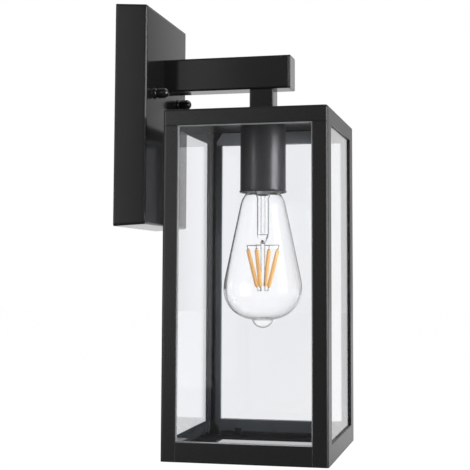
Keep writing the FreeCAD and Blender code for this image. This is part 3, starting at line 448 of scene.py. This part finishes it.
def flat_ring(half_width, low, high, width, face, depth):
    """A rectangular ring in the front wall, as wide as given inward from its outer edge."""
    bpy.ops.object.select_all(action="DESELECT")
    bpy.ops.mesh.primitive_plane_add(size=1.0, location=(0, face, (low + high) / 2),
                                     rotation=(math.pi / 2, 0, 0))
    ring = bpy.context.object
    ring.scale = (2 * half_width, high - low, 1.0)
    settle(ring)
    bpy.ops.object.mode_set(mode="EDIT")
    bpy.ops.mesh.select_mode(type="FACE")
    bpy.ops.mesh.select_all(action="SELECT")
    bpy.ops.mesh.inset(thickness=width)
    bpy.ops.mesh.delete(type="FACE")
    bpy.ops.object.mode_set(mode="OBJECT")
    wall = ring.modifiers.new("depth", "SOLIDIFY")
    wall.thickness = depth
    wall.offset = 1.0
    apply_all(ring)
    return ring


roof_low, roof_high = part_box("roof")
lantern_axis = Vector((0, (roof_low.y + roof_high.y) / 2, 0))
glass_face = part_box("pane_front")[0].y - lantern_axis.y
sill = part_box("base_rail_front")[1].z
side_lip = lantern_axis.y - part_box("post_front_left")[1].y
fillet_width, fillet_depth, fillet_round = 0.9 * mm, 1.0 * mm, 0.8 * mm
clearance = 0.02 * mm
fillet = flat_ring(side_lip - clearance, sill + clearance, roof_low.z - clearance,
                   fillet_width, glass_face - clearance, fillet_depth)
select_corners(fillet, lambda corner: corner.y < glass_face - fillet_depth / 2
               and abs(corner.x) < side_lip - fillet_width / 2
               and sill + fillet_width / 2 < corner.z < roof_low.z - fillet_width / 2)
bpy.ops.mesh.bevel(offset=fillet_round, segments=5, affect="EDGES")
bpy.ops.object.mode_set(mode="OBJECT")
fillet.data.materials.append(silicone_fillet)
fillets = dict(zip(("right", "left"), copies(fillet, 2)))
quarter_turns = {"right": math.pi / 2, "left": -math.pi / 2}
for side in ("front", "right", "back", "left"):
    film = bpy.data.objects.new(f"silicone_seal_{side}",
                                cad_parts[f"sealant_{side}"].data.copy())
    bpy.context.scene.collection.objects.link(film)
    film.data.materials.clear()
    film.data.materials.append(silicone_film)
    film.data.materials.append(painted_light_silicone)
    select_corners(film, lambda corner: True)
    bpy.ops.mesh.remove_doubles(threshold=0.001 * mm)
    bpy.ops.object.mode_set(mode="OBJECT")
    # On the side panes the film stops at the lips' edges, where the fillet takes over.
    if side in fillets:
        for corner in film.data.vertices:
            aside = corner.co.y - lantern_axis.y
            if abs(aside) < side_lip and sill - 2 * mm < corner.co.z < roof_low.z + 1 * mm:
                corner.co.y = lantern_axis.y + math.copysign(side_lip, aside)
                corner.co.z = sill if corner.co.z < (sill + roof_low.z) / 2 else roof_low.z
    # Above the roof's lower edge, except at the back, the film is near white, a painted light.
    select_corners(film, lambda corner: True)
    bpy.ops.mesh.bisect(plane_co=(0, 0, roof_low.z), plane_no=(0, 0, 1))
    bpy.ops.object.mode_set(mode="OBJECT")
    for face in film.data.polygons:
        face.material_index = 1 if face.center.z > roof_low.z and side != "back" else 0
    seal = film
    if side in fillets:
        fillets[side].matrix_world = (Matrix.Translation(lantern_axis)
                                      @ Matrix.Rotation(quarter_turns[side], 4, "Z"))
        settle(fillets[side])
        seal = join_pieces(f"silicone_seal_{side}", film, fillets[side])
    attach(seal, "fixture")
    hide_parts(f"sealant_{side}")


# ---- Socket cup and lamp holder ----
# A spun steel cup hangs under the roof from the nipple, and the moulded porcelain lamp holder is
# inside it, with a screw shell and a centre contact stamped from brass.

# Satin powder coat: a softer, greyer black than the frame's, whose grain spreads the light that
# runs down the cup.
dress(powder_coat("satin_black_cup_paint", "#2c2c2d", "#343435", roughness=0.30,
                  grain_depth=0.03 * mm, edge_radius=0.4 * mm), "socket_cup")

# Porcelain, pressed, glazed and fired: glossy warm white, with clouds of 6 mm under the glaze.
porcelain = mottled("glazed_porcelain", "#f0eee8", "#e2dfd6",
                    {"Scale": 1 / (5.56 * mm), "Detail": 5.0},
                    bump_strength=0.15, bump_depth=0.1 * mm, Roughness=0.12, IOR=1.55)[0]
dress(porcelain, "lamp_holder")
dress(bright_metal("stamped_brass", "#d8b36a", "#b08c48", roughness=0.28),
      "screw_shell", "centre_contact")


# ---- Bulb ----
# Blown clear glass pear with its sealed tip at the foot, a plated screw base, and inside it a
# pressed glass stem that carries four coated sticks on thin wires.
dress(clear_glass("blown_clear_glass", "#ffffff", facing_gloss="#7c7c7c",
                  wave_size=33.3 * mm, wave_depth=0.03 * mm), "bulb_glass", "bulb_mount")

nickel = bright_metal("nickel_plate", "#cfccc6", "#b3afa8", roughness=0.22)
dress(nickel, "bulb_carriers")


# The base is drawn from 0.2 mm sheet and rolled into a round thread of 3.63 mm pitch, with a plain
# band below it round the neck and a shoulder above it round the black glass.
def open_tube(foot_radius, top_radius, low, high, wall):
    """A short tube or cone of sheet round the origin, its ends rounded over."""
    bpy.ops.object.select_all(action="DESELECT")
    bpy.ops.mesh.primitive_cone_add(vertices=96, radius1=foot_radius, radius2=top_radius,
                                    depth=high - low, end_fill_type="NOTHING",
                                    location=(0, 0, (low + high) / 2))
    tube = bpy.context.object
    settle(tube)
    sheet = tube.modifiers.new("sheet", "SOLIDIFY")
    sheet.thickness = wall
    sheet.offset = -1.0
    rim = tube.modifiers.new("rim", "BEVEL")
    rim.width = wall * 0.4
    rim.segments = 2
    apply_all(tube)
    return tube


def rolled_thread(root_radius, crest_radius, pitch, low, high, wall):
    """Sheet rolled into a round thread: a wave one pitch long, swept by the Screw modifier.

    The wave is drawn half as deep again, because subdivision flattens it.
    """
    steps_in_turn = 32
    middle, swing = (root_radius + crest_radius) / 2, (crest_radius - root_radius) * 0.75
    wave_height = low - pitch / 2
    bpy.ops.object.select_all(action="DESELECT")
    bpy.ops.mesh.primitive_plane_add(size=pitch, location=(middle + pitch / 2, 0, wave_height),
                                     rotation=(math.pi / 2, 0, 0))
    thread = bpy.context.object
    settle(thread)
    select_corners(thread, lambda corner: corner.x > middle + pitch / 2)
    bpy.ops.mesh.delete(type="VERT")
    bpy.ops.mesh.select_all(action="SELECT")
    bpy.ops.mesh.subdivide(number_cuts=3)
    bpy.ops.object.mode_set(mode="OBJECT")
    select_corners(thread, lambda corner: abs(corner.z - wave_height) < pitch / 8)
    bpy.ops.transform.translate(value=(swing, 0, 0))
    bpy.ops.object.mode_set(mode="OBJECT")
    select_corners(thread, lambda corner: abs(corner.z - wave_height) > pitch * 3 / 8)
    bpy.ops.transform.translate(value=(-swing, 0, 0))
    bpy.ops.object.mode_set(mode="OBJECT")
    screw = thread.modifiers.new("thread", "SCREW")
    screw.axis = "Z"
    screw.angle = math.tau
    screw.screw_offset = pitch
    screw.iterations = int((high - low) / pitch) + 3
    screw.steps = steps_in_turn
    screw.render_steps = steps_in_turn
    screw.use_merge_vertices = True
    smooth = thread.modifiers.new("smooth", "SUBSURF")
    smooth.levels = 2
    smooth.render_levels = 2
    apply_all(thread)
    bpy.ops.object.mode_set(mode="EDIT")
    bpy.ops.mesh.select_all(action="SELECT")
    bpy.ops.mesh.remove_doubles(threshold=0.01 * mm)
    bpy.ops.mesh.normals_make_consistent(inside=False)
    bpy.ops.mesh.select_all(action="SELECT")
    bpy.ops.mesh.bisect(plane_co=(0, 0, low), plane_no=(0, 0, 1), clear_inner=True)
    bpy.ops.mesh.select_all(action="SELECT")
    bpy.ops.mesh.bisect(plane_co=(0, 0, high), plane_no=(0, 0, 1), clear_outer=True)
    bpy.ops.object.mode_set(mode="OBJECT")
    face = thread.data.polygons[0]
    if face.normal.x * face.center.x + face.normal.y * face.center.y < 0:
        bpy.ops.object.mode_set(mode="EDIT")
        bpy.ops.mesh.select_all(action="SELECT")
        bpy.ops.mesh.flip_normals()
        bpy.ops.object.mode_set(mode="OBJECT")
    sheet = thread.modifiers.new("sheet", "SOLIDIFY")
    sheet.thickness = wall
    sheet.offset = -1.0
    apply_all(thread)
    return thread


shell_low, shell_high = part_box("bulb_base_shell")
thread_root, thread_crest, thread_pitch = 12.62 * mm, 13.10 * mm, 3.63 * mm
thread_low, thread_high = shell_low.z + 3.2 * mm, shell_high.z - 3.0 * mm
band_radius, band_top = 13.0 * mm, shell_low.z + 3.6 * mm
shoulder_radius, shoulder_neck, shoulder_foot = 12.9 * mm, 9.1 * mm, shell_high.z - 3.4 * mm
base_shell = join_pieces(
    "rolled_screw_base",
    rolled_thread(thread_root, thread_crest, thread_pitch, thread_low, thread_high,
                  wall=0.2 * mm),
    open_tube(band_radius, band_radius, shell_low.z, band_top, wall=0.3 * mm),
    open_tube(shoulder_radius, shoulder_neck, shoulder_foot, shell_high.z, wall=0.3 * mm))
base_shell.matrix_world = Matrix.Translation(lantern_axis)
settle(base_shell)
base_shell.data.materials.clear()
base_shell.data.materials.append(nickel)
bpy.ops.object.shade_smooth_by_angle(angle=math.radians(40))
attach(base_shell, "bulb")
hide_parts("bulb_base_shell")

dress(bright_metal("solder", "#b9bbc0", "#96989d", roughness=0.38), "bulb_contact")

# Black base glass, moulded round the contact while hot: deep black and glossy.
vitrite = mottled("black_base_glass", "#08080a", "#1c1c20",
                  {"Scale": 1 / (2.5 * mm), "Detail": 3.0}, Roughness=0.15, IOR=1.6)[0]
dress(vitrite, "bulb_insulator")

# Amber phosphor in cured silicone: matt and slightly grainy, and bright for its colour through a
# faint painted glow, which stands for the yellow it makes of the blue in daylight. The real grain,
# under 0.1 mm, is drawn at 1.4 mm.
phosphor = mottled("amber_phosphor_coating", "#d9ac66", "#e5c088",
                   {"Scale": 1 / (1.43 * mm), "Detail": 4.0},
                   bump_strength=0.4, bump_depth=0.1 * mm,
                   Roughness=0.55, IOR=1.42, Subsurface_Weight=0.2, Subsurface_Scale=1 * mm,
                   Emission_Color=linear("#ffc67c"), Emission_Strength=0.21)[0]


# Each stick is a glass strip of light-emitting chips, dipped in the coating up to a plated tab at
# each end, where the carrier wires are welded on.
def coated_stick(radius, length):
    """One stick along +Z from the origin: the rounded coating and the two tabs."""
    bare_end, tab_length = 0.5 * mm, 1.4 * mm
    coating = rounded_rod(radius, length - 2 * bare_end, length / 2, radius * 0.7,
                          sides=24, segments=4)
    coating.data.materials.append(phosphor)
    tab = rounded_rod(radius * 0.62, tab_length, tab_length / 2, 0.12 * mm,
                      sides=16, segments=2)
    tab.data.materials.append(nickel)
    foot_tab, top_tab = copies(tab, 2)
    top_tab.location.z = length - tab_length
    settle(top_tab)
    return join_pieces("stick", coating, foot_tab, top_tab)


# The sticks lean in a cone. Their bevel swells the coating from 3.0 to 3.4 mm across.
stick_radius, stick_drop, stick_turn = 1.5 * mm, 31.5 * mm, math.radians(9.2)
stick_top_reach, stick_foot_reach = 13.5 * mm, 5.0 * mm
stick_lean = math.atan2(stick_top_reach - stick_foot_reach, stick_drop)
stick_length = math.hypot(stick_top_reach - stick_foot_reach, stick_drop)
cad_stick_radius = 1.3 * mm
stick_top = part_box("bulb_filaments")[1].z - cad_stick_radius * math.sin(stick_lean)
sticks = copies(coated_stick(stick_radius, stick_length), 4)
for quarter, stick in enumerate(sticks):
    turn = stick_turn + quarter * math.pi / 2
    outward = Vector((math.sin(turn), math.cos(turn), 0))
    high = lantern_axis + outward * stick_top_reach + Vector((0, 0, stick_top))
    low = lantern_axis + outward * stick_foot_reach + Vector((0, 0, stick_top - stick_drop))
    place_between(stick, low, high)
coated_sticks = join_pieces("coated_sticks", *sticks)
bpy.ops.object.shade_smooth_by_angle(angle=math.radians(35))
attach(coated_sticks, "bulb")
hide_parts("bulb_filaments")


# ---- Leads ----
# Two stranded leads, black live and white neutral, run from the holder up through the nipple, the
# stem and the arm to the back of the plate.

# Extruded vinyl: half matt, with its colour a little uneven in patches of 2 mm.
def sleeve(name, colour, shade):
    """A lead's sleeve in two close tones."""
    return mottled(name, colour, shade, {"Scale": 1 / (2 * mm), "Detail": 4.0},
                   bump_strength=0.2, bump_depth=0.05 * mm, Roughness=0.5, IOR=1.5)[0]


dress(sleeve("black_sleeve", "#141414", "#232323"), "live_lead")
dress(sleeve("white_sleeve", "#e4e3dd", "#d2d0c8"), "neutral_lead")


# ---- Studio ----
# A pale floor below the bulb's travel, a white surround, three soft boxes, a narrow strip beside
# the plate, and the camera.

# White paper that looks its own white to the camera, through glass and in paint, and is plain lit
# paper to scattered light. Behind one pane, as at the open foot, it is dimmer, which stands for
# shade. Behind many faces of glass it is brighter, which makes up for their tint. Mirrored, it
# fades to dark from the lantern's right to its left.
level_a, level_b = 2, 3
below_travel = 160 * mm
bpy.ops.object.select_all(action="DESELECT")
bpy.ops.mesh.primitive_plane_add(size=14.0, location=(0, 0, cad_low.z - below_travel))
floor = bpy.context.object
floor.name = "studio_floor"
floor_paper, paper_shader = new_material("floor_paper", Base_Color=linear("#f2f2f2"),
                                         Roughness=0.9)
floor_open, floor_past_pane, floor_past_many, floor_own_share = 1.04, 0.56, 1.2, 0.93
pane_faces, many_faces = 2.0, 6.5
floor_path = add_node(floor_paper, "ShaderNodeLightPath")
floor_place = add_node(floor_paper, "ShaderNodeTexCoord").outputs["Object"]
floor_axes = add_node(floor_paper, "ShaderNodeSeparateXYZ", None, {"Vector": floor_place})
floor_sweep = add_node(floor_paper, "ShaderNodeMapRange",
                       {"From Min": 0.2, "From Max": 1.2, "To Min": 0.06, "To Max": 1.0},
                       {"Value": floor_axes.outputs["X"]}, interpolation_type="SMOOTHSTEP")
floor_mirrored = add_node(floor_paper, "ShaderNodeMath", {1: 0.5},
                          {0: floor_path.outputs["Glossy Depth"]}, operation="GREATER_THAN")
floor_deep = add_node(floor_paper, "ShaderNodeMath", {1: many_faces},
                      {0: floor_path.outputs["Transmission Depth"]}, operation="GREATER_THAN")
floor_under = add_node(floor_paper, "ShaderNodeMath", {1: pane_faces, 2: 0.6},
                       {0: floor_path.outputs["Transmission Depth"]}, operation="COMPARE")
floor_near = add_node(floor_paper, "ShaderNodeMix",
                      {level_a: floor_open, level_b: floor_past_pane},
                      {"Factor": floor_under.outputs[0]})
floor_behind = add_node(floor_paper, "ShaderNodeMix", {level_b: floor_past_many},
                        {"Factor": floor_deep.outputs[0], level_a: floor_near.outputs[0]})
floor_level = add_node(floor_paper, "ShaderNodeMix", None,
                       {"Factor": floor_mirrored.outputs[0], level_a: floor_behind.outputs[0],
                        level_b: floor_sweep.outputs["Result"]})
floor_unscattered = add_node(floor_paper, "ShaderNodeMath", {1: 0.5},
                             {0: floor_path.outputs["Diffuse Depth"]}, operation="LESS_THAN")
floor_share = add_node(floor_paper, "ShaderNodeMath", {1: floor_own_share},
                       {0: floor_unscattered.outputs[0]}, operation="MULTIPLY")
white = add_node(floor_paper, "ShaderNodeEmission", {"Color": (1, 1, 1, 1)},
                 {"Strength": floor_level.outputs[0]})
paper = add_node(floor_paper, "ShaderNodeMixShader", None,
                 {0: floor_share.outputs[0], 1: paper_shader.outputs["BSDF"],
                  2: white.outputs["Emission"]})
feed(floor_paper, floor_paper.node_tree.nodes["Material Output"],
     {"Surface": paper.outputs["Shader"]})
floor.data.materials.append(floor_paper)

# The surround is a white sweep on the lantern's right, with an end to each side, and a dim room
# elsewhere. What is seen straight or through glass shows white, mirrored rays meet the sweep and
# the room, and scattered light meets an even grey.
room, mirrored_in_glass, even_grey, past_many = 0.16, 0.4, 0.45, 1.14
world = bpy.data.worlds.new("studio")
world.use_nodes = True
bpy.context.scene.world = world
sky = world.node_tree.nodes["Background"]
sky_path = add_node(world, "ShaderNodeLightPath")
sky_place = add_node(world, "ShaderNodeTexCoord").outputs["Generated"]
sky_axes = add_node(world, "ShaderNodeSeparateXYZ", None, {"Vector": sky_place})
sweep_edge = add_node(world, "ShaderNodeMapRange",
                      {"From Min": -0.35, "From Max": -0.275, "To Min": 0.08, "To Max": 1.0},
                      {"Value": sky_axes.outputs["Y"]}, interpolation_type="SMOOTHSTEP")
far_edge = add_node(world, "ShaderNodeMapRange",
                    {"From Min": -0.145, "From Max": -0.135, "To Max": 0.1},
                    {"Value": sky_axes.outputs["Y"], "To Min": sweep_edge.outputs["Result"]},
                    interpolation_type="SMOOTHSTEP")
sweep = add_node(world, "ShaderNodeMapRange",
                 {"From Min": 0.55, "From Max": 0.95, "To Min": room},
                 {"Value": sky_axes.outputs["X"], "To Max": far_edge.outputs["Result"]},
                 interpolation_type="SMOOTHSTEP")
scattered = add_node(world, "ShaderNodeMath", {1: 0.5}, {0: sky_path.outputs["Diffuse Depth"]},
                     operation="GREATER_THAN")
mirrored = add_node(world, "ShaderNodeMath", {1: 0.5}, {0: sky_path.outputs["Glossy Depth"]},
                    operation="GREATER_THAN")
deep = add_node(world, "ShaderNodeMath", {1: many_faces},
                {0: sky_path.outputs["Transmission Depth"]}, operation="GREATER_THAN")
behind = add_node(world, "ShaderNodeMix", {level_a: 1.0, level_b: past_many},
                  {"Factor": deep.outputs[0]})
glanced = add_node(world, "ShaderNodeMix", {level_b: mirrored_in_glass},
                   {"Factor": deep.outputs[0], level_a: sweep.outputs["Result"]})
straight = add_node(world, "ShaderNodeMix", None,
                    {"Factor": mirrored.outputs[0], level_a: behind.outputs[0],
                     level_b: glanced.outputs[0]})
sky_level = add_node(world, "ShaderNodeMix", {level_b: even_grey},
                     {"Factor": scattered.outputs[0], level_a: straight.outputs[0]})
feed(world, sky, {"Strength": sky_level.outputs[0]})
sky.inputs["Color"].default_value = (1, 1, 1, 1)


def soft_box(name, direction, distance, width, height, power):
    """An area lamp that faces the lantern's middle."""
    towards = Vector(direction).normalized()
    panel = bpy.data.lights.new(name, "AREA")
    panel.shape = "RECTANGLE"
    panel.size = width
    panel.size_y = height
    panel.energy = power
    lamp = bpy.data.objects.new(name, panel)
    bpy.context.scene.collection.objects.link(lamp)
    lamp.location = (cad_low + cad_high) / 2 + towards * distance
    lamp.rotation_euler = towards.to_track_quat("Z", "Y").to_euler()


soft_box("front_box", (-0.35, -0.94, 0.06), distance=1.5, width=1.1, height=1.25, power=27.0)
soft_box("back_box", (-0.79, 0.61, 0.12), distance=1.6, width=0.6, height=1.6, power=7.0)
soft_box("top_box", (0.3, -0.4, 1.0), distance=1.5, width=1.0, height=1.0, power=6.0)
soft_box("side_strip", (-0.949, 0.315, 0.0), distance=2.0, width=0.19, height=1.7, power=0.45)

# The camera stands on the lantern's left, a little in front of it and below its middle.
backwards = Vector((-0.976054, -0.202726, -0.078868))
camera_data = bpy.data.cameras.new("camera")
camera_data.sensor_width = 36.0
camera_data.lens = 77.71
camera_data.shift_x = -0.1170
camera_data.shift_y = -0.0894
camera = bpy.data.objects.new("camera", camera_data)
bpy.context.scene.collection.objects.link(camera)
camera.location = (-0.81243, -0.30121, -0.14687)
camera.rotation_euler = backwards.to_track_quat("Z", "Y").to_euler()
bpy.context.scene.camera = camera
bpy.context.scene.view_settings.view_transform = "Standard"
# A line of sight through the bulb's stem meets sixteen faces of glass.
bpy.context.scene.cycles.max_bounces = 24
bpy.context.scene.cycles.transmission_bounces = 24
